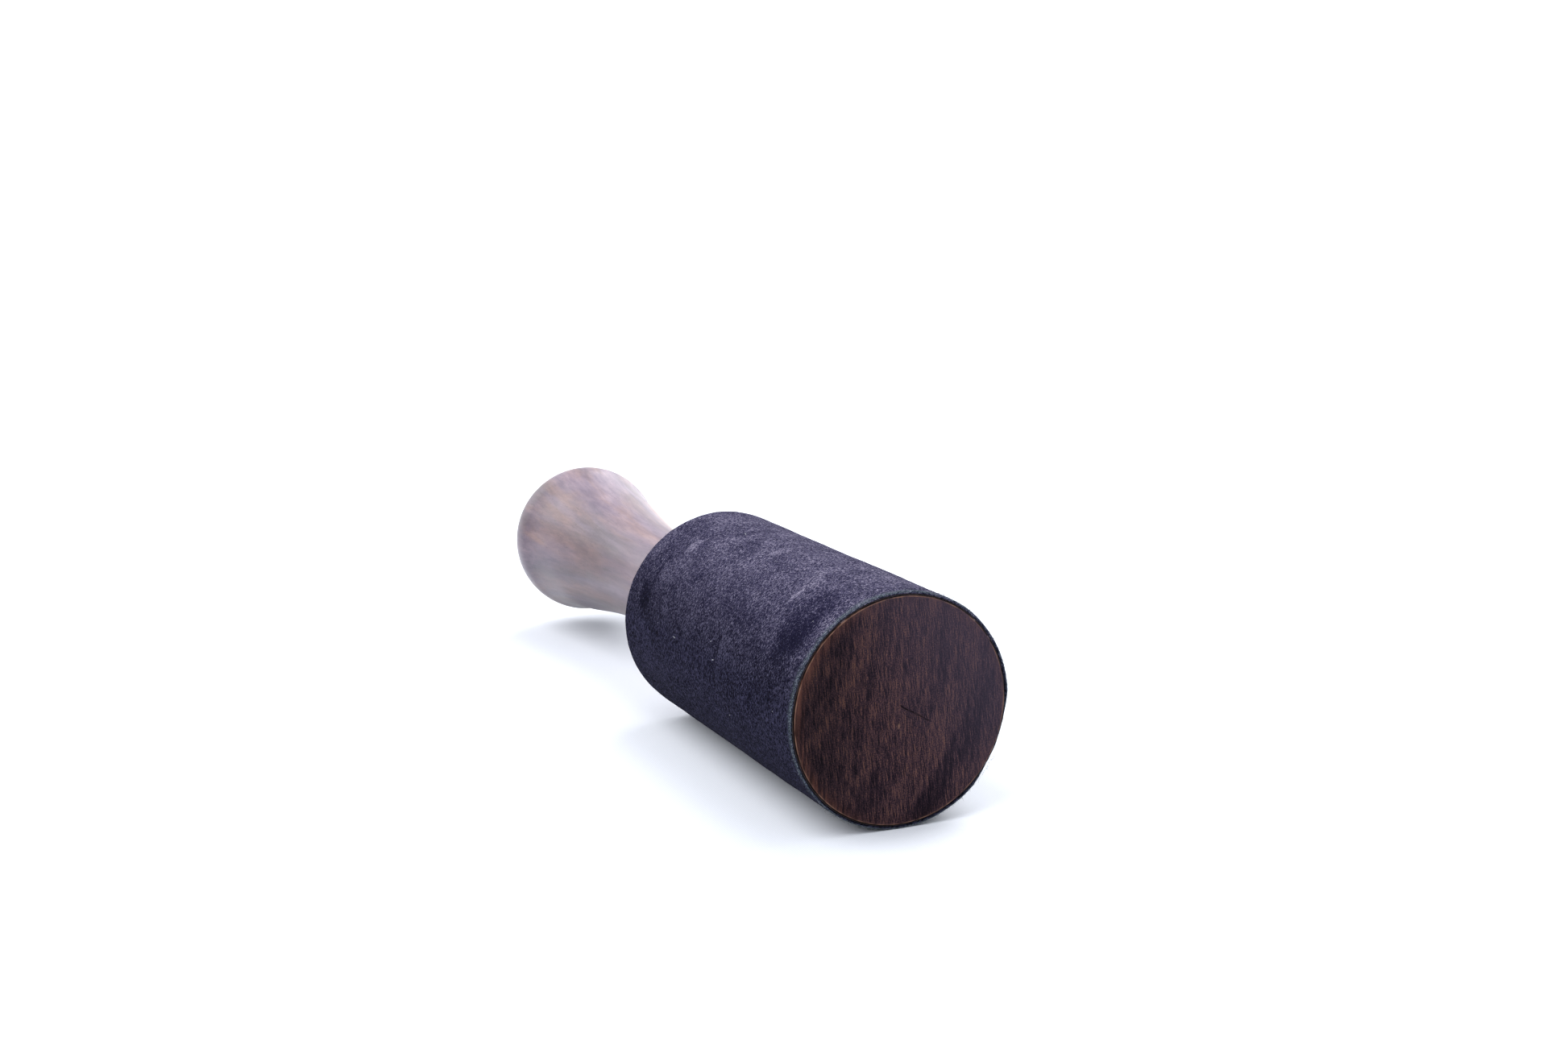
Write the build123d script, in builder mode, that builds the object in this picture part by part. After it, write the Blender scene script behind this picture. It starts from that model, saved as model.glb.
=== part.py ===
"""A suede-wrapped wooden mallet, lying on the side of its head.

The mallet is one turned piece of hardwood: a plain cylindrical head with a bare end face, a waisted
neck and a rounded knob. A strip of suede is glued round the side of the head with contact cement and
closes on itself in a butt seam.

Frame: millimetres, +X along the mallet's axis towards the bare end face, +Z up. The origin is under
the middle of the mallet, on the surface that it lies on.
"""

import os
from math import cos, pi, radians, sin, tan

from build123d import *

# Head: the wooden core, the cement and the suede over it
head_diameter = 42.0
head_length = 79.5
suede_thickness = 0.65
cement_thickness = 0.10
worn_edge = 0.25
shoulder_round = 1.0

# Suede strip: the seam's direction is about the axis, in degrees from +Y towards +Z
suede_setback = 0.15
suede_edge_round = 0.30
seam_direction = -25.0
seam_gap = 0.30
pressed_nap = 0.10

# Cement film
cement_setback = 0.50

# Neck: stations are distances behind the end face
cove_radius = 5.0
neck_root_radius = 10.9
waist_station, waist_radius = 104.0, 10.45
flare_stations = [(123.9, 11.15), (136.5, 12.7), (148.0, 14.5)]

# Knob: a rounded widest ring that runs on into a shallow dome
knob_station = 163.4
knob_radius = 17.2
knob_round = 11.0
knob_entry_angle = 17.0
dome_entry_angle = 60.0

# Worked out from the sizes above
head_radius = head_diameter / 2
suede_inner_radius = head_radius - suede_thickness
core_radius = suede_inner_radius - cement_thickness
knob_centre_radius = knob_radius - knob_round
dome_radius = knob_round + knob_centre_radius / cos(radians(dome_entry_angle))
dome_station = knob_station - knob_centre_radius * tan(radians(dome_entry_angle))
total_length = dome_station + dome_radius
axis_height = head_radius - pressed_nap
seam_angle = 360 * seam_gap / (pi * head_diameter)

mallet_axis = Axis((0, 0, axis_height), (1, 0, 0))


def section_plane(direction=90.0):
    """A half plane through the mallet's axis: local x along the axis, local y outwards.

    direction is the angle of local y about the axis, in degrees from +Y towards +Z.
    """
    angle = radians(direction)
    return Plane(origin=(0, 0, axis_height), x_dir=(1, 0, 0), z_dir=(0, -sin(angle), cos(angle)))


def at(station, radius):
    """A point of a section, from its distance behind the end face and from the axis."""
    return (total_length / 2 - station, radius)


def sleeve_section(inner_radius, outer_radius, setback):
    """Draws the wall of a sleeve round the head that stops short of both its ends."""
    front = at(setback, inner_radius)[0]
    rear = at(head_length - setback, inner_radius)[0]
    with Locations(((front + rear) / 2, (inner_radius + outer_radius) / 2)):
        Rectangle(front - rear, outer_radius - inner_radius)


# Turned body: head core, neck and knob in one piece of wood
with BuildPart() as turned_body:
    with BuildSketch(section_plane()):
        with BuildLine():
            face = Line(at(0, 0), at(0, core_radius - worn_edge))
            worn = Line(face @ 1, at(worn_edge, core_radius))
            side = Line(worn @ 1, at(head_length - shoulder_round, core_radius))
            rim_end = at(head_length, core_radius - shoulder_round)
            rim = TangentArc(side @ 1, rim_end, tangent=(-1, 0))
            shoulder = Line(rim @ 1, at(head_length, neck_root_radius + cove_radius))
            cove_end = at(head_length + cove_radius, neck_root_radius)
            cove = TangentArc(shoulder @ 1, cove_end, tangent=(0, -1))
            knob = CenterArc(
                at(knob_station, knob_centre_radius),
                knob_round,
                90 - knob_entry_angle,
                knob_entry_angle + dome_entry_angle,
            )
            neck_points = [at(waist_station, waist_radius)] + [at(*point) for point in flare_stations]
            Spline(cove @ 1, *neck_points, knob @ 0, tangents=[cove % 1, knob % 0])
            dome = CenterArc(
                at(dome_station, 0), dome_radius, 90 + dome_entry_angle, 90 - dome_entry_angle
            )
            Line(dome @ 1, face @ 0)
        make_face()
    revolve(axis=mallet_axis)
turned_body.part.label = "turned_body"

# Cement film: a thin closed sleeve between the wood and the suede
with BuildPart() as cement_film:
    with BuildSketch(section_plane()):
        sleeve_section(core_radius, suede_inner_radius, cement_setback)
    revolve(axis=mallet_axis)
cement_film.part.label = "cement_film"

# Suede wrap: a strip bent round the head, with softened outer edges, an open butt seam and the nap
# pressed flat where the mallet lies on it
with BuildPart() as suede_wrap:
    with BuildSketch(section_plane(seam_direction + seam_angle / 2)) as strip:
        sleeve_section(suede_inner_radius, head_radius, suede_setback)
        fillet(strip.vertices().group_by(Axis.Y)[-1], suede_edge_round)
    revolve(axis=mallet_axis, revolution_arc=360 - seam_angle)
    split(bisect_by=Plane.XY, keep=Keep.TOP)
suede_wrap.part.label = "suede_wrap"

os.makedirs("parts", exist_ok=True)
export_step(turned_body.part, "parts/turned_body.step")
export_step(cement_film.part, "parts/cement_film.step")
export_step(suede_wrap.part, "parts/suede_wrap.step")
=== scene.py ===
# The looks of the suede-wrapped mallet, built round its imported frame. Everything is in metres; the
# materials work in millimetres of the same frame. Stations are distances behind the end face, and
# directions are angles about the mallet's axis, in degrees from +Y towards +Z.

import math
import random

import bmesh
import bpy
import numpy as np
from mathutils import Matrix, Vector, noise


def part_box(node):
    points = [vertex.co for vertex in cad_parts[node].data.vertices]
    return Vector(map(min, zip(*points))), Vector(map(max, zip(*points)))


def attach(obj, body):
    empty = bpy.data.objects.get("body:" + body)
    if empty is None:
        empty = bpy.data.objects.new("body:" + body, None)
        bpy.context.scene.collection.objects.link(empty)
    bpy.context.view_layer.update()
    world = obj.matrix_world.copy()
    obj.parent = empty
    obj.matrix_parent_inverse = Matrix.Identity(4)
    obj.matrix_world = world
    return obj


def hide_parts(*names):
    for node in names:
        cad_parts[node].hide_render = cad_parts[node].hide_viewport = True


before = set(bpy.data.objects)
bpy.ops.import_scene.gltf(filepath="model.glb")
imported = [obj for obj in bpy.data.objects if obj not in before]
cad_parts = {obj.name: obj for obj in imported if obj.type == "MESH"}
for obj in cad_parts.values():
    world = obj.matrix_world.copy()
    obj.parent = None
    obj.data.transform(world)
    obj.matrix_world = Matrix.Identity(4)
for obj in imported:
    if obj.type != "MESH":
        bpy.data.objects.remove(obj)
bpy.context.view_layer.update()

MM = 0.001

# Sizes that come from the frame
body_low, body_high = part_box("turned_body")
suede_low, suede_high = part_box("suede_wrap")
cement_low, cement_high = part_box("cement_film")
front_x = body_high.x
axis_z = (body_low.z + body_high.z) / 2
core_radius = (body_high.y - body_low.y) / 2
cement_radius = (cement_high.y - cement_low.y) / 2
head_radius = suede_high.z - axis_z
suede_setback = front_x - suede_high.x
head_length = front_x - suede_low.x + suede_setback

# How far in the end face's edge is worn, nicks aside
WORN_EDGE = 0.25 * MM

# Suede: the butt seam is on the far side, a little below the horizontal
SEAM_DIRECTION = -25.0
SEAM_GAP = 0.30 * MM

# Growth rings: the pith runs beside the mallet, and the dark rings are evenly spaced round it
PITH_Y, PITH_Z = -2.40 * head_radius, 1.32 * head_radius
RING_SPACING = 0.467 * head_radius
FIRST_DARK_RING = 2.0 * head_radius
DARK_BAND = 3.40 * head_radius
PITH_LEAN_Y, PITH_LEAN_Z = 0.10, -0.05

# A drying crack across the middle of the end face and a pale fleck, as (y, z) from the axis
CRACK_START, CRACK_END = (-1.0 * MM, 1.4 * MM), (5.8 * MM, -2.5 * MM)
FLECK = (-0.5 * MM, -2.5 * MM)


# ---------------------------------------------------------------- mesh helpers


def smoothstep(low, high, value):
    """0 at low and beyond it, 1 at high and beyond it, and smooth between."""
    t = np.clip((value - low) / (high - low), 0.0, 1.0)
    return t * t * (3 - 2 * t)


def field(points, size, octaves, shift):
    """Smooth noise from about -1 to 1 at each point, with features of the given size in metres."""
    offset = Vector((shift, 2 * shift, 3 * shift))
    values = [noise.fractal(Vector(p) / size + offset, 1.0, 2.0, octaves) for p in points]
    return np.array(values)


def new_object(name, vertices, faces, material):
    """A smooth-shaded mesh object with one material."""
    mesh = bpy.data.meshes.new(name)
    mesh.from_pydata([tuple(v) for v in vertices], [], faces)
    mesh.validate()
    mesh.update()
    mesh.shade_smooth()
    piece = bpy.data.objects.new(name, mesh)
    bpy.context.scene.collection.objects.link(piece)
    mesh.materials.append(material)
    return piece


def set_attribute(piece, name, values):
    """Stores a number at each of the piece's points, for its material to read."""
    attribute = piece.data.attributes.new(name, "FLOAT", "POINT")
    attribute.data.foreach_set("value", np.asarray(values, np.float32))


def grid_faces(rows, columns, close_rows=False, close_columns=False):
    """Quads of a grid of points numbered row by row."""
    faces = []
    for i in range(rows if close_rows else rows - 1):
        for j in range(columns if close_columns else columns - 1):
            i2, j2 = (i + 1) % rows, (j + 1) % columns
            faces.append((i * columns + j, i * columns + j2, i2 * columns + j2, i2 * columns + j))
    return faces


# ---------------------------------------------------------------- material helper


class Nodes:
    """Builds one material's node tree. Nearly every call returns the socket the next one takes."""

    def __init__(self, name):
        self.material = bpy.data.materials.new(name)
        self.material.use_nodes = True
        self.tree = self.material.node_tree
        self.tree.nodes.clear()
        place = self.add("ShaderNodeTexCoord").outputs["Object"]
        self.millimetres = self.scaled(place, (1 / MM, 1 / MM, 1 / MM))

    def add(self, kind, inputs=(), **settings):
        """A new node, with values or links for its inputs."""
        node = self.tree.nodes.new(kind)
        for name, value in settings.items():
            setattr(node, name, value)
        for key, value in dict(inputs).items():
            self.feed(node.inputs[key], value)
        return node

    def feed(self, socket, value):
        if isinstance(value, bpy.types.NodeSocket):
            self.tree.links.new(value, socket)
        elif isinstance(value, (tuple, list)) and socket.type == "RGBA":
            socket.default_value = (*value, 1.0)
        else:
            socket.default_value = value

    def surface_normal(self):
        return self.add("ShaderNodeNewGeometry").outputs["Normal"]

    def attribute(self, name):
        return self.add("ShaderNodeAttribute", attribute_name=name).outputs["Fac"]

    def vector_math(self, operation, a, b=(0.0, 0.0, 0.0)):
        return self.add("ShaderNodeVectorMath", {0: a, 1: b}, operation=operation).outputs

    def scaled(self, vector, factors):
        return self.vector_math("MULTIPLY", vector, factors)[0]

    def shifted(self, vector, offset):
        return self.vector_math("ADD", vector, offset)[0]

    def length(self, vector):
        return self.vector_math("LENGTH", vector)["Value"]

    def split(self, vector):
        return self.add("ShaderNodeSeparateXYZ", {0: vector}).outputs

    def joined(self, x, y, z):
        return self.add("ShaderNodeCombineXYZ", {0: x, 1: y, 2: z}).outputs[0]

    def math(self, operation, a, b=0.0):
        return self.add("ShaderNodeMath", {0: a, 1: b}, operation=operation).outputs[0]

    def times(self, a, b):
        return self.math("MULTIPLY", a, b)

    def minus(self, a, b):
        return self.math("SUBTRACT", a, b)

    def added(self, *terms, offset=0.0):
        """The offset plus each (value, weight) term's product."""
        total = offset
        for value, weight in terms:
            inputs = {0: value, 1: weight, 2: total}
            total = self.add("ShaderNodeMath", inputs, operation="MULTIPLY_ADD").outputs[0]
        return total

    def fit(self, value, low, high, new_low=0.0, new_high=1.0, kind="SMOOTHSTEP"):
        """Carries low and high to new_low and new_high, and goes no further at either end."""
        inputs = {
            "Value": value,
            "From Min": low,
            "From Max": high,
            "To Min": new_low,
            "To Max": new_high,
        }
        return self.add("ShaderNodeMapRange", inputs, interpolation_type=kind).outputs[0]

    def noise(self, vector, scale, detail, roughness=0.5, distortion=0.0):
        inputs = {
            "Vector": vector,
            "Scale": scale,
            "Detail": detail,
            "Roughness": roughness,
            "Distortion": distortion,
        }
        return self.add("ShaderNodeTexNoise", inputs).outputs["Fac"]

    def noise_vector(self, vector, scale, detail):
        inputs = {"Vector": vector, "Scale": scale, "Detail": detail}
        return self.add("ShaderNodeTexNoise", inputs).outputs["Color"]

    def noise_line(self, value, scale, detail, roughness=0.5):
        """Noise along one number, such as a distance."""
        inputs = {"W": value, "Scale": scale, "Detail": detail, "Roughness": roughness}
        return self.add("ShaderNodeTexNoise", inputs, noise_dimensions="1D").outputs["Fac"]

    def speck_distance(self, vector, scale):
        """The distance to the nearest of many scattered specks."""
        inputs = {"Vector": vector, "Scale": scale}
        return self.add("ShaderNodeTexVoronoi", inputs).outputs["Distance"]

    def ramp(self, value, stops):
        """The colour at a value, from (position, colour) stops."""
        node = self.add("ShaderNodeValToRGB", {"Fac": value})
        elements = node.color_ramp.elements
        while len(elements) < len(stops):
            elements.new(0.5)
        for element, (position, colour) in zip(elements, stops):
            element.position = position
            element.color = (*colour, 1.0)
        return node.outputs["Color"]

    def mix(self, amount, a, b, blend="MIX"):
        """Colour a with an amount of colour b over it."""
        node = self.add("ShaderNodeMix", data_type="RGBA", blend_type=blend)
        for index, value in ((0, amount), (6, a), (7, b)):
            self.feed(node.inputs[index], value)
        return node.outputs[2]

    def tinted(self, amount, colour, tint):
        return self.mix(amount, colour, tint, "MULTIPLY")

    def bump(self, height, distance, strength):
        inputs = {"Height": height, "Distance": distance, "Strength": strength}
        return self.add("ShaderNodeBump", inputs).outputs["Normal"]

    def finish(self, **inputs):
        """Ends the tree in a Principled shader, whose inputs are named with _ for each space."""
        inputs = {name.replace("_", " "): value for name, value in inputs.items()}
        shader = self.add("ShaderNodeBsdfPrincipled", inputs)
        output = self.add("ShaderNodeOutputMaterial", {"Surface": shader.outputs[0]})
        output.is_active_output = True
        return self.material


# ---------------------------------------------------------------- wood materials

# Ramps from the darkest grain to the palest, and tints that multiply them
SIDE_GRAIN = (
    (0.25, (0.031, 0.019, 0.036)),
    (0.45, (0.060, 0.040, 0.063)),
    (0.62, (0.092, 0.062, 0.085)),
    (0.85, (0.141, 0.099, 0.120)),
)
END_GRAIN = (
    (0.20, (0.0042, 0.0026, 0.0054)),
    (0.42, (0.0190, 0.0107, 0.0163)),
    (0.60, (0.0460, 0.0240, 0.0290)),
    (0.88, (0.1040, 0.0500, 0.0370)),
)
TAN_TINT = (1.12, 0.93, 0.66)
END_ON_TINT = (0.64, 0.57, 0.53)
LIT_SIDE_TINT = (1.97, 2.24, 2.20)
PORE_COLOUR = (0.006, 0.005, 0.006)
CRACK_AND_GAP_SHADOW_COLOUR = (0.0015, 0.0012, 0.0015)
HAZE_COLOUR = (0.0410, 0.0335, 0.0520)
RUBBED_COLOUR = (0.0800, 0.0320, 0.0230)
BARE_EDGE_COLOUR = (0.1750, 0.0980, 0.0700)


def wood_grain(n):
    """Distance from the wandering pith, and a wave that is highest in the dark rings."""
    wander = n.noise_vector(n.scaled(n.millimetres, (0.22, 1.0, 1.0)), 0.075, 3.0)
    wander = n.scaled(n.shifted(wander, (-0.5, -0.5, -0.5)), (0.0, 4.0, 4.0))
    x, y, z = n.split(n.shifted(n.millimetres, wander))
    behind = n.minus(front_x / MM, x)
    across = n.added((y, 1.0), (behind, -PITH_LEAN_Y), offset=-PITH_Y / MM)
    above = n.added((z, 1.0), (behind, -PITH_LEAN_Z), offset=-(axis_z + PITH_Z) / MM)
    distance = n.length(n.joined(0.0, across, above))
    turns = n.times(n.minus(distance, FIRST_DARK_RING / MM), 2 * math.pi * MM / RING_SPACING)
    return distance, n.math("COSINE", turns)


def turned_side():
    """Side grain of the neck and knob: soft long stripes, pores, a worn satin finish, and painted
    light high on the +Y side.
    """
    n = Nodes("oiled_hardwood")
    p = n.millimetres
    x, y, z = n.split(p)
    distance, wave = wood_grain(n)
    stripes = n.noise(n.scaled(p, (0.10, 1.0, 1.0)), 0.17, 3.0, 0.5, 0.3)
    hue = n.noise(n.scaled(n.shifted(p, (40.0, 9.0, 3.0)), (0.12, 1.0, 1.0)), 0.20, 3.0, 0.5, 0.4)
    fine = n.noise(n.scaled(p, (0.10, 1.0, 1.0)), 1.1, 4.0, 0.65)
    blotch = n.noise(n.scaled(p, (0.35, 1.0, 1.0)), 0.22, 3.0, 0.6)
    along = n.added((wave, -0.08), (stripes, 0.85), (fine, 0.55), (blotch, 0.40), offset=-0.41)
    # the knob's end and the shoulder are cut across the grain: arcs of growth rings, darker
    end_on = n.fit(n.math("ABSOLUTE", n.split(n.surface_normal())[0]), 0.45, 0.92)
    arcs = n.noise_line(distance, 0.42, 4.0, 0.62)
    ends = n.noise(p, 2.4, 3.0, 0.65)
    across = n.added((wave, -0.05), (arcs, 1.30), (ends, 0.60), (stripes, 0.25), offset=-0.68)
    colour = n.ramp(n.added((end_on, n.minus(across, along)), offset=along), SIDE_GRAIN)
    tan = n.times(n.fit(hue, 0.38, 0.66), n.added((end_on, -0.55), offset=0.85))
    colour = n.tinted(tan, colour, TAN_TINT)
    colour = n.tinted(end_on, colour, END_ON_TINT)
    # painted light: the wood is made paler high on the +Y side, towards the back lights, and not at
    # all low down
    painted_light_side = n.fit(n.added((y, 0.85), (z, 0.50)), 0.0, 28.0)
    colour = n.tinted(n.times(painted_light_side, n.fit(z, 14.0, 28.0)), colour, LIT_SIDE_TINT)
    pores = n.noise(n.scaled(p, (0.07, 1.0, 1.0)), 3.4, 2.0)
    colour = n.mix(n.times(n.fit(pores, 0.60, 0.72), 0.30), colour, PORE_COLOUR)
    colour = n.mix(n.times(n.attribute("worn"), 0.8), colour, BARE_EDGE_COLOUR)
    turning_marks = n.noise_line(x, 1.6, 2.0)
    height = n.added((pores, -0.5), (turning_marks, 0.30), (fine, 0.3))
    return n.finish(
        Base_Color=colour,
        Roughness=n.fit(blotch, 0.3, 0.7, 0.36, 0.50, "LINEAR"),
        Normal=n.bump(height, 0.05 * MM, 0.5),
        Specular_IOR_Level=0.3,
        Coat_Weight=0.18,
        Coat_Roughness=0.35,
        Sheen_Weight=0.08,
        Sheen_Roughness=0.40,
    )


def end_grain():
    """The sanded end face: faint growth rings, steep sanding lines, a crack and a worn rim."""
    n = Nodes("end_grain")
    p = n.millimetres
    distance, wave = wood_grain(n)
    _, y, z = n.split(p)
    z = n.minus(z, axis_z / MM)

    def lines(degrees, scale, stretch, detail=3.0):
        """Noise drawn out along a direction on the face."""
        a = math.radians(degrees)
        across = n.added((y, math.sin(a)), (z, -math.cos(a)))
        along = n.added((y, math.cos(a)), (z, math.sin(a)))
        return n.noise(n.joined(across, n.times(along, stretch), 0.0), scale, detail, 0.6)

    figure = lines(78, 0.42, 0.11, 4.0)
    hatch = lines(88, 1.9, 0.03)
    scratches = lines(98, 6.5, 0.05, 2.0)
    blotch = n.noise(p, 0.15, 4.0, 0.55)
    bands = n.noise_line(distance, 0.30, 3.0, 0.6)
    grain = n.noise(p, 4.5, 2.0, 0.7)
    # one broad ring is dark, mostly low on the face
    off_ring = n.math("ABSOLUTE", n.minus(distance, DARK_BAND / MM))
    dark_ring = n.times(n.fit(off_ring, 0.6, 3.2, 1.0, 0.0), n.fit(z, -4.0, 6.0, 1.0, 0.35))
    tone = n.added(
        (wave, -0.045),
        (figure, 0.32),
        (hatch, 0.68),
        (scratches, 1.60),
        (blotch, 0.30),
        (bands, 0.26),
        (grain, 1.30),
        (n.fit(z, -19.0, -4.0), 0.06),
        (dark_ring, -0.15),
        offset=-1.81,
    )
    colour = n.ramp(tone, END_GRAIN)
    # painted light and shade: a greyer haze of light high on the +Y side, and painted shade towards
    # the edge on the -Y side
    painted_haze = n.fit(n.added((y, 0.80), (z, 0.55)), -6.0, 20.0)
    colour = n.mix(n.times(painted_haze, 0.5), colour, HAZE_COLOUR)
    shade = n.fit(y, -19.0, 2.0, 0.48, 1.0)
    colour = n.tinted(1.0, colour, n.joined(shade, shade, shade))
    # warmth where the finish has rubbed away, then pits, the fleck and the bare worn edge
    wear_and_top_light = n.times(n.attribute("rim"), n.fit(hatch, 0.36, 0.62, 0.15, 1.0))
    colour = n.mix(n.times(wear_and_top_light, 0.80), colour, RUBBED_COLOUR)
    pits = n.fit(n.speck_distance(n.scaled(p, (0.2, 1.0, 1.0)), 1.9), 0.08, 0.24, 1.0, 0.0)
    colour = n.mix(n.times(pits, 0.45), colour, PORE_COLOUR)
    colour = n.mix(n.times(n.attribute("fleck"), 0.55), colour, BARE_EDGE_COLOUR)
    colour = n.mix(n.times(n.attribute("worn"), 0.8), colour, BARE_EDGE_COLOUR)
    # the dark crack, and a painted shadow along the wood's edge beside the suede
    crack = n.attribute("crack")
    dark = n.math("MAXIMUM", n.math("POWER", crack, 0.6), n.attribute("gap_shadow"))
    colour = n.mix(dark, colour, CRACK_AND_GAP_SHADOW_COLOUR)
    height = n.added((hatch, 0.8), (scratches, 0.5), (grain, 0.4), (pits, -0.4), (crack, -2.0))
    return n.finish(
        Base_Color=colour,
        Roughness=n.fit(grain, 0.3, 0.7, 0.5, 0.66, "LINEAR"),
        Normal=n.bump(height, 0.05 * MM, 0.55),
        Specular_IOR_Level=0.03,
    )


# ---------------------------------------------------------------- suede materials

SUEDE_TONES = (
    (0.05, (0.0010, 0.0010, 0.0040)),
    (0.35, (0.0046, 0.0045, 0.0116)),
    (0.60, (0.0128, 0.0124, 0.0238)),
    (0.98, (0.0395, 0.0385, 0.0575)),
)
# painted light and shade: tints that make the suede's sides darker and its top paler
SIDE_SHADE_TINT = (0.65, 0.65, 0.86)
TOP_LIGHT_TINT = (4.40, 4.20, 3.85)
CUT_EDGE_COLOUR = (0.0330, 0.0410, 0.0520)
FLUFF_COLOUR = (0.150, 0.185, 0.215)
DUST_COLOUR = (0.294, 0.294, 0.336)
SHEEN_TINT = (0.66, 0.63, 0.82)
FIBRE_TONES = (
    (0.0, (0.006, 0.006, 0.010)),
    (0.6, (0.050, 0.058, 0.075)),
    (1.0, (0.30, 0.31, 0.36)),
)


def suede():
    """Dark blue-violet suede: brushed patches, a fine mottled nap, dust, and a pale cut edge."""
    n = Nodes("suede")
    p = n.millimetres
    z = n.split(p)[2]
    patches = n.noise(p, 0.17, 4.0, 0.6, 0.6)
    clumps = n.noise(p, 0.8, 3.0, 0.6)
    strokes = n.scaled(p, (1.4, 0.7, 0.7))
    nap = n.noise(strokes, 2.9, 3.0, 0.65)
    fine = n.noise(strokes, 5.6, 3.0, 0.6)
    pale_hairs = n.fit(n.noise(n.shifted(strokes, (7.0, 3.0, 1.0)), 4.4, 2.0, 0.6), 0.52, 0.72)
    # the nap stands up low on the sides, with more grit, and lies smooth on top
    standing = n.fit(z, 34.0, 14.0)
    grit = n.added((nap, 8.0), (fine, 5.0), offset=-6.5)
    tone = n.added(
        (patches, 0.75),
        (clumps, 0.28),
        (nap, 2.90),
        (fine, 2.50),
        (pale_hairs, 0.32),
        (n.attribute("brushed"), 0.40),
        (standing, grit),
        offset=-2.875,
    )
    colour = n.ramp(tone, SUEDE_TONES)
    # painted light and shade: the suede is tinted much paler on top and darker low on the sides
    wear_and_top_light = n.mix(n.fit(z, 22.0, 43.0), SIDE_SHADE_TINT, TOP_LIGHT_TINT)
    colour = n.tinted(1.0, colour, wear_and_top_light)
    cut = n.attribute("cut_edge")
    cut_tone = n.fit(n.noise(p, 3.4, 4.0, 0.7), 0.38, 0.60)
    colour = n.mix(n.times(cut, cut_tone), colour, CUT_EDGE_COLOUR)
    fluff = n.fit(n.noise(n.shifted(p, (5.0, 5.0, 5.0)), 5.5, 3.0, 0.7), 0.50, 0.62)
    colour = n.mix(n.times(n.math("POWER", cut, 2.0), fluff), colour, FLUFF_COLOUR)
    dust = n.fit(n.speck_distance(p, 0.24), 0.018, 0.034, 1.0, 0.0)
    colour = n.mix(n.times(dust, 0.7), colour, DUST_COLOUR)
    height = n.added((nap, 0.9), (fine, 0.5), (clumps, 0.9))
    return n.finish(
        Base_Color=colour,
        Roughness=0.95,
        Normal=n.bump(height, 0.22 * MM, 0.9),
        Specular_IOR_Level=0.02,
        Sheen_Weight=0.012,
        Sheen_Roughness=0.18,
        Sheen_Tint=SHEEN_TINT,
    )


def fibres():
    """Loose fibres of the suede's cut edges, and the pale lint."""
    n = Nodes("suede_fibres")
    colour = n.ramp(n.attribute("pale"), FIBRE_TONES)
    return n.finish(Base_Color=colour, Roughness=0.9, Specular_IOR_Level=0.2)


# ---------------------------------------------------------------- cement and floor materials

CEMENT_TONES = ((0.3, (0.006, 0.005, 0.006)), (0.7, (0.030, 0.020, 0.014)))
FLOOR_NEAR_COLOUR = (0.525, 0.552, 0.612)
FLOOR_FAR_COLOUR = (0.90, 0.90, 0.90)


def dried_cement():
    """Dark brown contact cement, uneven and dull."""
    n = Nodes("dried_cement")
    lumps = n.noise(n.millimetres, 3.0, 3.0, 0.6)
    colour = n.ramp(lumps, CEMENT_TONES)
    roughness = n.fit(lumps, 0.3, 0.7, 0.45, 0.8)
    normal = n.bump(lumps, 0.08 * MM, 0.8)
    return n.finish(Base_Color=colour, Roughness=roughness, Normal=normal)


def pale_cloth():
    """The plain pale floor: fine white cloth."""
    n = Nodes("pale_cloth")
    p = n.millimetres
    x, y, _ = n.split(n.scaled(p, (16.0, 16.0, 16.0)))
    warp, weft = n.math("SINE", x), n.math("SINE", y)
    height = n.added((warp, 0.25), (weft, 0.25), (n.noise(p, 1.4, 3.0), 1.0))
    normal = n.bump(height, 0.06 * MM, 0.35)
    # the cloth gets whiter with distance, which keeps the backdrop white
    colour = n.mix(n.fit(n.length(p), 350.0, 1100.0), FLOOR_NEAR_COLOUR, FLOOR_FAR_COLOUR)
    return n.finish(Base_Color=colour, Roughness=0.95, Normal=normal, Specular_IOR_Level=0.1)


# ---------------------------------------------------------------- turned wood


def resample(points, spacing):
    """Evenly spaced points along a smooth curve through the given ones, by chord length."""
    points = np.array(points)
    chords = np.linalg.norm(np.diff(points, axis=0), axis=1)
    t = np.concatenate([[0.0], np.cumsum(chords)])
    slopes = np.gradient(points, t, axis=0)
    targets = np.linspace(0.0, t[-1], max(2, round(t[-1] / spacing) + 1))
    i = np.clip(np.searchsorted(t, targets, side="right") - 1, 0, len(t) - 2)
    span = t[i + 1] - t[i]
    u = ((targets - t[i]) / span)[:, None]
    span = span[:, None]
    start = (2 * u**3 - 3 * u**2 + 1) * points[i] + (u**3 - 2 * u**2 + u) * span * slopes[i]
    end = (3 * u**2 - 2 * u**3) * points[i + 1] + (u**3 - u**2) * span * slopes[i + 1]
    return start + end


def thinned(points, spacing):
    """The points with close neighbours left out; both ends stay."""
    kept = [points[0]]
    for point in points[1:-1]:
        if math.dist(point, kept[-1]) >= spacing and math.dist(point, points[-1]) >= spacing / 2:
            kept.append(point)
    return kept + [points[-1]]


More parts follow.
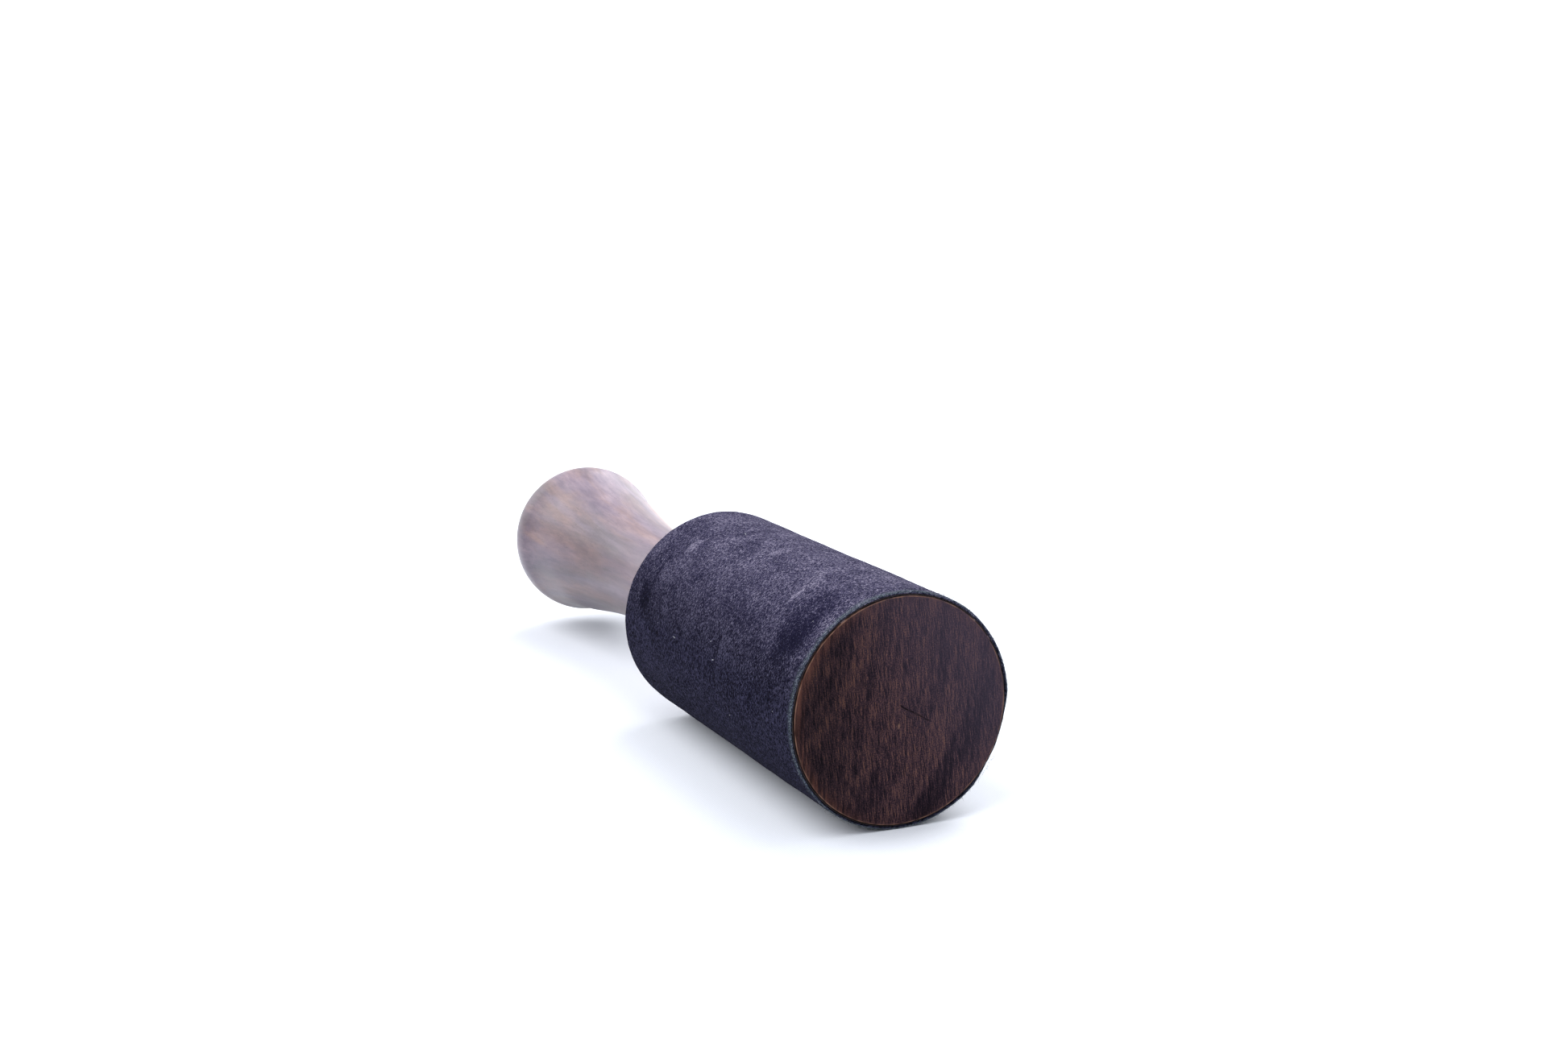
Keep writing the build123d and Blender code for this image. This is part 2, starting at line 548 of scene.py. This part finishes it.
def handle_outline():
    """The knob, neck and shoulder as (x, radius) points, from the CAD node's own vertices."""
    vertices = np.array([v.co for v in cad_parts["turned_body"].data.vertices])
    radii = np.hypot(vertices[:, 1], vertices[:, 2] - axis_z)
    outline = sorted({(round(x, 6), round(r, 6)) for x, r in zip(vertices[:, 0], radii)})
    shoulder_x = front_x - head_length
    cove_x, side_x = shoulder_x - 4 * MM, shoulder_x + 1.5 * MM
    handle = [p for p in outline if p[0] < cove_x]
    shoulder = [p for p in outline if cove_x <= p[0] < side_x]
    knob_and_neck = resample(thinned(handle, 0.8 * MM), 0.8 * MM)
    shoulder_rows = resample([handle[-1]] + thinned(shoulder, 0.1 * MM), 0.25 * MM)
    return np.concatenate([knob_and_neck[1:], shoulder_rows[1:]])


def lathe(rows, segments):
    """Vertices of rows of (x, radius) turned about the mallet's axis."""
    angles = np.linspace(0.0, 2 * math.pi, segments, endpoint=False)
    x = np.repeat(rows[:, 0], segments)
    y = np.outer(rows[:, 1], np.cos(angles)).ravel()
    z = np.outer(rows[:, 1], np.sin(angles)).ravel() + axis_z
    return np.stack([x, y, z], axis=1)


def crack_distance(y, z):
    """How far points of the end face are from the crack, and how far along it, from 0 to 1."""
    (y0, z0), (y1, z1) = CRACK_START, CRACK_END
    length = math.hypot(y1 - y0, z1 - z0)
    along = ((y - y0) * (y1 - y0) + (z - z0) * (z1 - z0)) / length**2
    nearest = np.clip(along, 0.0, 1.0)
    return np.hypot(y - y0 - nearest * (y1 - y0), z - z0 - nearest * (z1 - z0)), along


def wood_rows():
    """The wood's outline as (x, radius) rows: the handle, the side, the worn edge and the face."""
    side_x = np.linspace(front_x - head_length + 2 * MM, front_x - 0.6 * MM, 12)
    side = np.stack([side_x, np.full(len(side_x), core_radius)], axis=1)
    over = WORN_EDGE * np.array([(1.4, 0.0), (1.0, 0.0), (0.5, 0.42), (0.16, 0.78), (0.0, 1.1)])
    edge = np.array([(front_x, core_radius)]) - over
    # the face's rows close in on the middle
    face_r = np.linspace(core_radius - 1.6 * WORN_EDGE, 0.35 * MM, 56)
    face = np.stack([np.full(len(face_r), front_x), face_r], axis=1)
    return handle_outline(), side, edge, face


def wear_edge(edge, segments):
    """Moves the edge's points in where it is worn deeper, with small nicks."""
    wear = 0.5 * field(edge, 6 * MM, 2, 3.0) + 0.5 * field(edge, 1.2 * MM, 2, 5.0)
    depth = WORN_EDGE * 0.45 * np.clip(wear + 0.25, -0.4, 1.2)
    depth *= np.repeat((0.0, 0.2, 1.0, 1.0, 0.3), segments)
    shrink = 1 - depth / np.hypot(edge[:, 1], edge[:, 2] - axis_z)
    edge[:, 1] *= shrink
    edge[:, 2] = axis_z + (edge[:, 2] - axis_z) * shrink
    edge[:, 0] -= depth * 0.7


def sand_face(face):
    """Leaves the end face very slightly domed and uneven, as sanding by hand does."""
    radii = np.hypot(face[:, 1], face[:, 2] - axis_z)
    roll_off = smoothstep(core_radius - 2.5 * MM, core_radius, radii)
    face[:, 0] -= 0.05 * MM * roll_off + 0.03 * MM * np.abs(field(face, 7 * MM, 2, 9.0))


def mark_end_face(piece):
    """Attributes for the end grain: the painted shadow beside the cement, the bare edge, the rim
    where the finish is worn, and the fleck.
    """
    co = np.array([v.co for v in piece.data.vertices])
    y, z = co[:, 1], co[:, 2] - axis_z
    radii = np.hypot(y, z)
    at_front = smoothstep(front_x - 0.60 * MM, front_x - 0.40 * MM, co[:, 0])
    # painted shadow: the outer half of the worn edge is darkened where the suede's cut edge shades
    # it
    gap_shadow = smoothstep(core_radius - 0.19 * MM, core_radius - 0.11 * MM, radii)
    set_attribute(piece, "gap_shadow", gap_shadow * at_front)
    bare = smoothstep(core_radius - 0.42 * MM, core_radius - 0.26 * MM, radii) * (1 - gap_shadow)
    chips = 0.5 + 0.9 * field(co, 1.3 * MM, 2, 14.0) + 0.35 * field(co, 9 * MM, 1, 17.0)
    set_attribute(piece, "worn", bare * at_front * np.clip(chips, 0.12, 1.0))
    # the finish is rubbed away towards the rim, mostly on the -Y side
    near_side = smoothstep(0.10, 1.0, -y / core_radius) * 0.9 + 0.12
    near_rim = smoothstep(0.88, 1.0, radii / core_radius)
    set_attribute(piece, "rim", near_rim * near_side * at_front)
    fleck = np.hypot((y - FLECK[0]) / 0.35, (z - FLECK[1]) / 0.6) / MM
    set_attribute(piece, "fleck", smoothstep(1.0, 0.3, fleck) * at_front)


def turned_wood():
    """The wood: knob, neck, shoulder, the side under the suede and the sanded end face."""
    segments = 300
    handle, side, edge, face = wood_rows()
    rows = np.concatenate([handle, side, edge, face])
    first_edge = (len(handle) + len(side)) * segments
    first_face = first_edge + len(edge) * segments
    count = len(rows) * segments
    points = lathe(rows, segments)
    wear_edge(points[first_edge:first_face], segments)
    sand_face(points[first_face:])
    points = np.vstack([points, [(body_low.x, 0.0, axis_z)], [(front_x, 0.0, axis_z)]])

    faces = grid_faces(len(rows), segments, close_columns=True)
    last = count - segments
    for j in range(segments):
        j2 = (j + 1) % segments
        faces.append((count, j2, j))
        faces.append((last + j, last + j2, count + 1))
    piece = new_object("turned_wood", points, faces, turned_side())
    piece.data.materials.append(end_grain())
    open_crack(piece)
    # the end face and its worn edge are end grain, the second material
    for polygon in piece.data.polygons:
        polygon.material_index = int(polygon.center.x > front_x - 0.22 * MM)
    piece.data.set_sharp_from_angle(angle=math.radians(38))
    mark_end_face(piece)
    return piece


def open_crack(piece):
    """Cuts the crack into the end face as a broken hairline channel."""
    mesh = bmesh.new()
    mesh.from_mesh(piece.data)
    # the mesh is made finer near the crack, and finer again along it
    for reach in (0.50 * MM, 0.28 * MM):
        edges = []
        for edge in mesh.edges:
            middle = (edge.verts[0].co + edge.verts[1].co) / 2
            if middle.x > front_x - 0.2 * MM:
                distance, _ = crack_distance(middle.y, middle.z - axis_z)
                if distance < reach:
                    edges.append(edge)
        bmesh.ops.subdivide_edges(mesh, edges=edges, cuts=1, use_grid_fill=True)
    depths = mesh.verts.layers.float.new("crack")
    for vertex in mesh.verts:
        if vertex.co.x > front_x - 0.2 * MM:
            bend = 0.10 * MM * noise.noise(vertex.co / (0.9 * MM))
            distance, along = crack_distance(vertex.co.y + bend, vertex.co.z - axis_z + bend)
            dashes = 0.75 + 1.6 * noise.noise(Vector((along * 9.0, 0.4, 7.0)))
            ends = float(smoothstep(0.0, 0.15, along) * smoothstep(1.0, 0.8, along))
            near = float(smoothstep(0.15 * MM, 0.03 * MM, distance))
            depth = near * ends * min(max(dashes, 0.0), 1.0)
            vertex[depths] = depth
            vertex.co.x -= 0.10 * MM * depth
    mesh.to_mesh(piece.data)
    mesh.free()


# ---------------------------------------------------------------- suede strip

# Marks on the nap: distance behind the end face in millimetres, direction, half-size along and
# around the head in millimetres, tilt in degrees, and how much lighter or darker the nap looks
MARKS = (
    (65.3, 123.5, 1.4, 2.4, -15, 0.75),
    (75.6, 133.5, 1.7, 2.4, 0, 0.40),
    (18.3, 122.6, 0.5, 2.3, 0, 0.9),
    (39.8, 102.0, 1.6, 2.0, 0, 0.5),
    (30.2, 166.6, 2.2, 2.2, 0, 0.6),
    (32.8, 165.6, 0.7, 2.4, 0, -0.9),
    (71.6, 161.7, 2.2, 2.4, 0, -0.9),
    (67.0, 170.5, 1.6, 8.5, 52, -0.6),
    (69.6, 144.0, 0.4, 3.0, 0, -0.8),
    (51.6, 166.0, 2.4, 0.4, -22, -0.8),
    (47.5, 163.5, 1.8, 0.3, -22, -0.6),
    (56.0, 171.5, 1.5, 0.5, -30, -0.6),
    (69.0, 182.0, 4.0, 3.6, 0, 0.5),
    (64.5, 199.0, 6.0, 3.2, 0, 0.4),
    (16.0, 176.0, 5.0, 4.0, 0, -0.35),
    (6.5, 138.0, 2.2, 4.2, 0, -0.45),
    (8.4, 130.0, 5.5, 8.0, 0, -0.65),
    (11.2, 163.0, 6.0, 7.0, 0, -0.40),
    (67.2, 166.0, 4.0, 5.0, 0, -0.30),
    (73.0, 128.0, 4.0, 9.0, 0, -0.25),
)


def marks_at(stations, directions, ripple):
    """How much lighter or darker the nap's marks make each point of the suede."""
    total = np.zeros(len(stations))
    for station, direction, half_along, half_around, tilt, strength in MARKS:
        along = stations / MM - station
        around = np.radians(directions - direction) * head_radius / MM
        c, s = math.cos(math.radians(tilt)), math.sin(math.radians(tilt))
        lengthwise = (along * c + around * s) / half_along
        distance = np.hypot(lengthwise, (around * c - along * s) / half_around)
        total += strength * smoothstep(1.5, 0.5, distance + 0.45 * ripple)
    return total


def strip_section():
    """The strip's closed section as (x, radius, outward x, outward radius, cut edge) rows."""
    rear_x, fore_x = suede_low.x, suede_high.x
    inner, outer = cement_radius, head_radius
    # the outer edges are rounded to this radius
    bend = 0.22 * MM
    rows = []
    for x in np.linspace(rear_x + bend, fore_x - bend, 226):
        rows.append((x, outer, 0.0, 1.0, 0.0))
    for angle in (70, 50, 30, 12):
        c, s = math.cos(math.radians(angle)), math.sin(math.radians(angle))
        rows.append((fore_x - bend + bend * c, outer - bend + bend * s, c, s, 0.4 + 0.6 * c))
    for radius, pale in zip(np.linspace(outer - bend, inner + 0.18 * MM, 4), (1.0, 0.9, 0.5, 0.0)):
        rows.append((fore_x, radius, 1.0, 0.0, pale))
    rows.append((fore_x - 0.16 * MM, inner + 0.06 * MM, 0.5, 0.0, 0.0))
    for x in np.linspace(fore_x - 0.5 * MM, rear_x + 0.4 * MM, 10):
        rows.append((x, inner, 0.0, 0.0, 0.0))
    rows.append((rear_x + 0.06 * MM, inner + 0.02 * MM, -0.5, 0.0, 1.0))
    for radius in np.linspace(inner + 0.10 * MM, outer - bend, 4):
        rows.append((rear_x, radius, -1.0, 0.0, 1.0))
    for angle in (12, 30, 50, 70):
        c, s = math.cos(math.radians(angle)), math.sin(math.radians(angle))
        rows.append((rear_x + bend - bend * c, outer - bend + bend * s, -c, s, 0.4 + 0.6 * c))
    return np.array(rows)


def around_head(x, share):
    """Each point's direction about the axis, and how far round the head it is from the seam."""
    gap = math.degrees(SEAM_GAP / head_radius)
    # the seam is pinched shut at the front rim
    pinched = 1 - 0.85 * smoothstep(6 * MM, 0.5 * MM, suede_high.x - x)
    directions = SEAM_DIRECTION + gap / 2 * pinched + (360 - gap * pinched) * share
    # it was cut by eye, so it wanders a little
    from_seam = np.minimum(share, 1 - share) * 2 * math.pi * head_radius
    line = np.stack([x, 0 * x, 0 * x], axis=1)
    wander = field(line, 17 * MM, 2, 2.0) * 0.25 * MM + field(line, 2.5 * MM, 2, 4.0) * 0.05 * MM
    directions += np.degrees(wander / head_radius) * smoothstep(6 * MM, 0.0, from_seam)
    return directions, from_seam


def suede_strip():
    """The suede strip glued round the head, closed by a butt seam on the far side."""
    section = strip_section()
    rows, columns = len(section), 331
    x, radius, out_x, out_r, cut = (np.tile(values, columns) for values in section.T)
    share = np.repeat(np.linspace(0.0, 1.0, columns), rows)
    directions, from_seam = around_head(x, share)
    lip = smoothstep(1.1 * MM, 0.0, from_seam)

    angle = np.radians(directions)
    even = np.stack([x, radius * np.cos(angle), axis_z + radius * np.sin(angle)], axis=1)
    soft = field(even, 13 * MM, 2, 21.0)
    lumps = field(even, 3.6 * MM, 2, 23.0)
    nap = field(even, 0.9 * MM, 2, 27.0)
    marks = marks_at(front_x - x, directions % 360, lumps)
    # how far each point rises from the head, and how far the cut edges reach past their line
    rise = 0.11 * MM * soft + 0.05 * MM * lumps + 0.030 * MM * nap + 0.05 * MM * marks
    rise += 0.07 * MM * lip - 0.07 * MM
    rear_edge = smoothstep(2.2 * MM, 0.0, x - suede_low.x)
    fore_edge = smoothstep(1.4 * MM, 0.0, suede_high.x - x)
    rise -= 0.06 * MM * rear_edge + 0.05 * MM * fore_edge
    reach = 0.09 * MM * field(even, 5 * MM, 2, 31.0) + 0.07 * MM * field(even, 0.7 * MM, 2, 33.0)
    # beside the seam the strip was cut short, and the wood's edge shows
    signed = directions - 360 * (directions > 180)
    short = smoothstep(-48.0, -32.0, signed) * smoothstep(6.0, -12.0, signed)
    front_share = smoothstep(suede_high.x - 6 * MM, suede_high.x, x)
    x = x + out_x * (reach + 0.02 * MM * nap) - 0.75 * MM * short * front_share
    radius = radius + out_r * rise
    z = np.maximum(axis_z + radius * np.sin(angle), 0.0)
    points = np.stack([x, radius * np.cos(angle), z], axis=1)

    faces = grid_faces(columns, rows, close_columns=True)
    faces.append(tuple(range(rows)))
    faces.append(tuple(range((columns - 1) * rows, columns * rows))[::-1])
    piece = new_object("suede_strip", points, faces, suede())
    piece.data.set_sharp_from_angle(angle=math.radians(65))
    set_attribute(piece, "brushed", marks * (out_r > 0.3))
    frayed = 0.80 * smoothstep(1.3 * MM, 0.0, suede_high.x - x + 0.4 * MM * lumps)
    frayed = np.maximum(frayed * (out_r > 0.1), 0.7 * lip * (out_r > 0.3))
    set_attribute(piece, "cut_edge", np.clip(np.maximum(cut, frayed), 0.0, 1.0))
    return piece


# ---------------------------------------------------------------- cement line


def glue_line():
    """The cement film between wood and suede, with an uneven dried bead at each end."""
    rear_x, fore_x = cement_low.x, cement_high.x
    inner, outer = core_radius, cement_radius
    middle = (inner + outer) / 2
    # the front bead's section: millimetres past the film's end, and radius
    bead = 0.26
    fore = [(0.0, outer), (0.12, outer), (bead, middle), (0.12, inner), (0.0, inner)]
    section = [(fore_x + a * MM, r, a) for a, r in fore]
    section += [(x, inner, 0.0) for x in np.linspace(fore_x - 4 * MM, rear_x + 4 * MM, 6)]
    section += [(rear_x - a * MM, r, -a) for a, r in reversed(fore)]
    section += [(x, outer, 0.0) for x in np.linspace(rear_x + 4 * MM, fore_x - 4 * MM, 6)]
    section = np.array(section)
    segments = 420
    points = lathe(section[:, :2], segments)
    swell = np.repeat(section[:, 2], segments) / bead
    points[:, 0] += swell * 0.14 * MM * field(points, 1.6 * MM, 2, 41.0)
    faces = grid_faces(len(section), segments, close_rows=True, close_columns=True)
    return new_object("glue_line", points, faces, dried_cement())


# ---------------------------------------------------------------- loose fibres

# How many fibres are tried on the front cut edge, on the nap beside it, as long dark strands
# there, on the rear cut edge, and over the seam and the open nap
FRONT_CUT, FRONT_NAP, FRONT_STRANDS, REAR_CUT, OPEN_NAP = 1050, 330, 46, 260, 300

# Pale lint on the nap: distance behind the end face, direction, length and radius in millimetres
LINT = (
    (27.1, 195.0, 2.4, 0.05),
    (56.5, 102.0, 0.5, 0.11),
    (52.1, 172.0, 0.6, 0.12),
    (33.8, 171.5, 0.5, 0.12),
    (36.1, 163.6, 0.6, 0.10),
)


def fibre(start, heading, length, thickness, rng, curl):
    """Points and triangles of one tapering, curled, three-sided fibre."""
    steps = 5
    heading = heading.normalized()
    path = [start]
    turn = Vector((rng.gauss(0, 1), rng.gauss(0, 1), rng.gauss(0, 1))) * 0.28 * curl
    for _ in range(steps):
        heading = (heading + turn).normalized()
        path.append(path[-1] + heading * (length / steps))
    side = heading.orthogonal().normalized()
    other = heading.cross(side)
    points = []
    for k, centre in enumerate(path):
        r = thickness * (1 - 0.75 * k / steps)
        for corner in range(3):
            a = 2 * math.pi * corner / 3
            points.append(centre + r * (math.cos(a) * side + math.sin(a) * other))
    faces = [(2, 1, 0), tuple(3 * steps + c for c in range(3))]
    for k in range(steps):
        for c in range(3):
            c2 = (c + 1) % 3
            faces.append((3 * k + c, 3 * k + c2, 3 * k + 3 + c2, 3 * k + 3 + c))
    return points, faces


def suede_fibres():
    """Loose fibres: thick along the cut rims, sparse on the seam and open nap, and some lint."""
    rng = random.Random(7)
    rng = random.Random(7)
    points, faces, pale = [], [], []

    def grow(x, direction, radius, out_x, length, thickness, shade, curl=1.0, lift=1.0):
        """Adds a fibre, unless it would reach the floor."""
        angle = math.radians(direction)
        outward = Vector((0.0, math.cos(angle), math.sin(angle)))
        around = Vector((0.0, -math.sin(angle), math.cos(angle)))
        start = Vector((x, 0.0, axis_z)) + outward * radius
        heading = outward * rng.uniform(0.4, 1.0) * lift + Vector((out_x, 0.0, 0.0))
        heading += around * rng.gauss(0, 0.6)
        new_points, new_faces = fibre(start, heading, length, thickness, rng, curl)
        if min(p.z for p in new_points) < 0.02 * MM:
            return
        base = len(points)
        points.extend(new_points)
        faces.extend(tuple(base + i for i in face) for face in new_faces)
        pale.extend([shade] * len(new_points))

    for _ in range(FRONT_CUT):
        radius = rng.uniform(cement_radius + 0.2 * MM, head_radius - 0.05 * MM)
        length, shade = rng.uniform(0.15, 0.5) * MM, rng.uniform(0.2, 1.0)
        direction, out_x = rng.uniform(0, 360), rng.uniform(0.1, 1.2)
        grow(suede_high.x - 0.05 * MM, direction, radius, out_x, length, 0.018 * MM, shade)
    for _ in range(FRONT_NAP):
        x = suede_high.x - abs(rng.gauss(0, 0.5)) * MM - 0.1 * MM
        length, shade = rng.uniform(0.25, 0.8) * MM, rng.uniform(0.0, 0.7)
        direction, out_x = rng.uniform(0, 360), rng.uniform(-0.3, 0.9)
        grow(x, direction, head_radius - 0.03 * MM, out_x, length, 0.018 * MM, shade)
    for _ in range(FRONT_STRANDS):
        direction = rng.choice((rng.gauss(62, 14), rng.gauss(15, 14), rng.uniform(0, 360)))
        x = suede_high.x - rng.uniform(0.0, 1.5) * MM
        length, out_x = rng.uniform(0.9, 1.9) * MM, rng.uniform(-0.5, 0.5)
        grow(x, direction, head_radius - 0.05 * MM, out_x, length, 0.032 * MM, 0.1, 1.6)
    for _ in range(REAR_CUT):
        x = suede_low.x + abs(rng.gauss(0, 0.3)) * MM + 0.03 * MM
        length, shade = rng.uniform(0.15, 0.5) * MM, rng.uniform(0.0, 0.6)
        direction = rng.uniform(0, 360)
        grow(x, direction, head_radius - 0.1 * MM, -0.7, length, 0.016 * MM, shade)
    for _ in range(OPEN_NAP):
        x = rng.uniform(suede_low.x, suede_high.x)
        direction = rng.choice((SEAM_DIRECTION + rng.gauss(0, 0.8), rng.uniform(0, 360)))
        length, shade = rng.uniform(0.2, 0.6) * MM, rng.uniform(0.0, 0.5)
        out_x = rng.uniform(-1, 1)
        grow(x, direction, head_radius - 0.05 * MM, out_x, length, 0.014 * MM, shade)
    for station, direction, length, thickness in LINT:
        x, radius = front_x - station * MM, head_radius + 0.05 * MM
        grow(x, direction, radius, 0.4, length * MM, thickness * MM, 1.0, 2.6, 0.05)
    piece = new_object("suede_fibres", points, faces, fibres())
    set_attribute(piece, "pale", pale)
    return piece


# ---------------------------------------------------------------- the mallet

wood_piece = turned_wood()
strip_piece = suede_strip()
glue_piece = glue_line()
fibre_piece = suede_fibres()

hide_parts("turned_body")
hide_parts("suede_wrap")
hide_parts("cement_film")
for piece in (wood_piece, strip_piece, glue_piece, fibre_piece):
    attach(piece, "root")


# ---------------------------------------------------------------- floor, light and camera

# A flat floor, in metres, that sweeps up all round into its own backdrop
FLOOR_RADIUS, SWEEP_RADIUS = 2.2, 0.8

# Square lights aimed at the mallet: name, position in metres and power in watts
LIGHTS = (
    ("left_window", (0.2, -0.9, 1.2), 29.0),
    ("back_left", (-1.2, -0.8, 1.0), 16.0),
    ("back_right_low", (-0.8, 1.3, 1.0), 31.0),
    ("back_right_high", (-0.5, 0.8, 1.5), 33.0),
)
LIGHT_WIDTH = 1.4
SOFT_WHITE = (1.0, 0.975, 0.94)
ROOM_WHITE = (0.92, 0.955, 1.0)
ROOM_STRENGTH = 0.91

# The camera: its place in head radii from the middle of the end face, its heading from +X, its
# downward pitch and its roll in degrees, and its lens and sensor width in millimetres
CAMERA_PLACE = (13.89, -7.373, 4.586)
CAMERA_HEADING, CAMERA_PITCH, CAMERA_ROLL = 155.52219, 10.933, 0.113
CAMERA_LENS, SENSOR_WIDTH = 46.25, 36.0


def floor():
    """The pale floor and its swept backdrop, as rings round the origin."""
    rings = [(radius, 0.0) for radius in (0.1, 0.25, 0.5, 1.0, 1.6, FLOOR_RADIUS)]
    for degrees in range(10, 91, 10):
        a = math.radians(degrees)
        height = SWEEP_RADIUS - SWEEP_RADIUS * math.cos(a)
        rings.append((FLOOR_RADIUS + SWEEP_RADIUS * math.sin(a), height))
    segments = 96
    points = [(0.0, 0.0, 0.0)]
    for radius, height in rings:
        for k in range(segments):
            a = 2 * math.pi * k / segments
            points.append((radius * math.cos(a), radius * math.sin(a), height))
    faces = [(0, 1 + k, 1 + (k + 1) % segments) for k in range(segments)]
    for face in grid_faces(len(rings), segments, close_columns=True):
        faces.append(tuple(1 + i for i in reversed(face)))
    return new_object("floor", points, faces, pale_cloth())


def area_light(name, position, power):
    """A soft square light that faces the origin."""
    light = bpy.data.lights.new(name, "AREA")
    light.shape = "SQUARE"
    light.size = LIGHT_WIDTH
    light.energy = power
    light.color = SOFT_WHITE
    lamp = bpy.data.objects.new(name, light)
    lamp.location = position
    lamp.rotation_euler = (-Vector(position)).to_track_quat("-Z", "Y").to_euler()
    bpy.context.scene.collection.objects.link(lamp)


def white_room():
    """Even, slightly blue light from all round."""
    world = bpy.data.worlds.new("white_room")
    world.use_nodes = True
    background = world.node_tree.nodes["Background"]
    background.inputs["Color"].default_value = (*ROOM_WHITE, 1.0)
    background.inputs["Strength"].default_value = ROOM_STRENGTH
    return world


def photo_camera():
    """A camera at the photograph's viewing angle, with no shift and no depth of field."""
    data = bpy.data.cameras.new("camera")
    data.sensor_width = SENSOR_WIDTH
    data.lens = CAMERA_LENS
    data.clip_start = 0.01
    camera = bpy.data.objects.new("camera", data)
    bpy.context.scene.collection.objects.link(camera)
    heading, pitch = math.radians(CAMERA_HEADING), math.radians(CAMERA_PITCH)
    roll = math.radians(CAMERA_ROLL)
    ahead = Vector((math.cos(heading), math.sin(heading), 0.0))
    level = Vector((math.sin(heading), -math.cos(heading), 0.0))
    upright = Vector((0.0, 0.0, 1.0))
    look = ahead * math.cos(pitch) - upright * math.sin(pitch)
    up = ahead * math.sin(pitch) + upright * math.cos(pitch)
    right_axis = level * math.cos(roll) + up * math.sin(roll)
    up_axis = up * math.cos(roll) - level * math.sin(roll)
    pose = Matrix((right_axis, up_axis, -look)).transposed().to_4x4()
    pose.translation = Vector((front_x, 0.0, axis_z)) + head_radius * Vector(CAMERA_PLACE)
    camera.matrix_world = pose
    return camera


floor()
for light in LIGHTS:
    area_light(*light)
bpy.context.scene.world = white_room()
bpy.context.scene.camera = photo_camera()
bpy.context.scene.view_settings.view_transform = "Standard"

bpy.context.view_layer.update()
